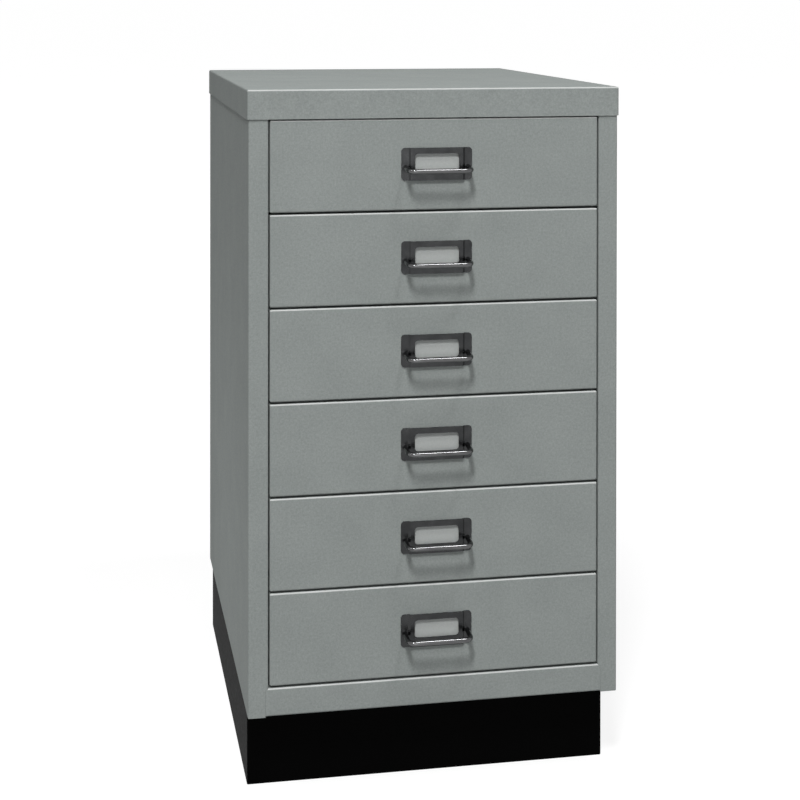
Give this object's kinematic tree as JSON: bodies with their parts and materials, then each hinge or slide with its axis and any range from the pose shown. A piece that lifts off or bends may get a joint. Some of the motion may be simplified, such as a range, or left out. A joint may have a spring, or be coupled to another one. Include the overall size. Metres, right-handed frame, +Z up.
{
  "type": "small metal drawer cabinet",
  "caption": "Narrow sheet-steel cabinet of shallow sliding drawers with folded fronts and wire-loop label-holder handles, under an overlapping cap and on a recessed plinth.",
  "frame": {"origin": "on the floor, under the middle of the overall box (cap, carcass and handle loops)", "axes": "+Z up, drawer fronts face -Y, so the drawers open along -Y; +X is on the right of someone facing the drawers"},
  "size_m": [0.3624, 0.494, 0.67],
  "materials": {
    "grey_paint": "fine textured grey powder coat",
    "black_paint": "satin black powder coat",
    "plated_steel": "bright plated, polished",
    "zinc_steel": "bright zinc plated",
    "nylon": "natural white nylon"
  },
  "bodies": {
    "cabinet": {"side_panel_left": "grey_paint", "side_panel_right": "grey_paint", "top_cap": "grey_paint", "base_panel": "grey_paint", "back_panel": "grey_paint", "bottom_rail": "grey_paint", "top_rail": "grey_paint", "front_upright_left": "grey_paint", "front_upright_right": "grey_paint", "rear_upright_left": "grey_paint", "rear_upright_right": "grey_paint", "runner_left_1": "zinc_steel", "runner_left_2": "zinc_steel", "runner_left_3": "zinc_steel", "runner_left_4": "zinc_steel", "runner_left_5": "zinc_steel", "runner_left_6": "zinc_steel", "runner_right_1": "zinc_steel", "runner_right_2": "zinc_steel", "runner_right_3": "zinc_steel", "runner_right_4": "zinc_steel", "runner_right_5": "zinc_steel", "runner_right_6": "zinc_steel", "front_glides": "nylon", "rear_buffers": "nylon", "plinth": "black_paint", "plinth_screws": "zinc_steel", "plinth_nuts": "zinc_steel"},
    "drawer_1": {"drawer_front_1": "grey_paint", "drawer_tray_1": "grey_paint", "handle_plate_1": "plated_steel", "handle_loop_1": "plated_steel", "drawer_glides_1": "nylon"},
    "drawer_2": {"drawer_front_2": "grey_paint", "drawer_tray_2": "grey_paint", "handle_plate_2": "plated_steel", "handle_loop_2": "plated_steel", "drawer_glides_2": "nylon"},
    "drawer_3": {"drawer_front_3": "grey_paint", "drawer_tray_3": "grey_paint", "handle_plate_3": "plated_steel", "handle_loop_3": "plated_steel", "drawer_glides_3": "nylon"},
    "drawer_4": {"drawer_front_4": "grey_paint", "drawer_tray_4": "grey_paint", "handle_plate_4": "plated_steel", "handle_loop_4": "plated_steel", "drawer_glides_4": "nylon"},
    "drawer_5": {"drawer_front_5": "grey_paint", "drawer_tray_5": "grey_paint", "handle_plate_5": "plated_steel", "handle_loop_5": "plated_steel", "drawer_glides_5": "nylon"},
    "drawer_6": {"drawer_front_6": "grey_paint", "drawer_tray_6": "grey_paint", "handle_plate_6": "plated_steel", "handle_loop_6": "plated_steel", "drawer_glides_6": "nylon"}
  },
  "joints": [
    {"name": "drawer_1_slide", "type": "slide", "parent": "cabinet", "child": "drawer_1", "axis": [0, -1, 0], "range_m": [0, 0.34]},
    {"name": "drawer_2_slide", "type": "slide", "parent": "cabinet", "child": "drawer_2", "axis": [0, -1, 0], "range_m": [0, 0.34]},
    {"name": "drawer_3_slide", "type": "slide", "parent": "cabinet", "child": "drawer_3", "axis": [0, -1, 0], "range_m": [0, 0.34]},
    {"name": "drawer_4_slide", "type": "slide", "parent": "cabinet", "child": "drawer_4", "axis": [0, -1, 0], "range_m": [0, 0.34]},
    {"name": "drawer_5_slide", "type": "slide", "parent": "cabinet", "child": "drawer_5", "axis": [0, -1, 0], "range_m": [0, 0.34]},
    {"name": "drawer_6_slide", "type": "slide", "parent": "cabinet", "child": "drawer_6", "axis": [0, -1, 0], "range_m": [0, 0.34]}
  ]
}
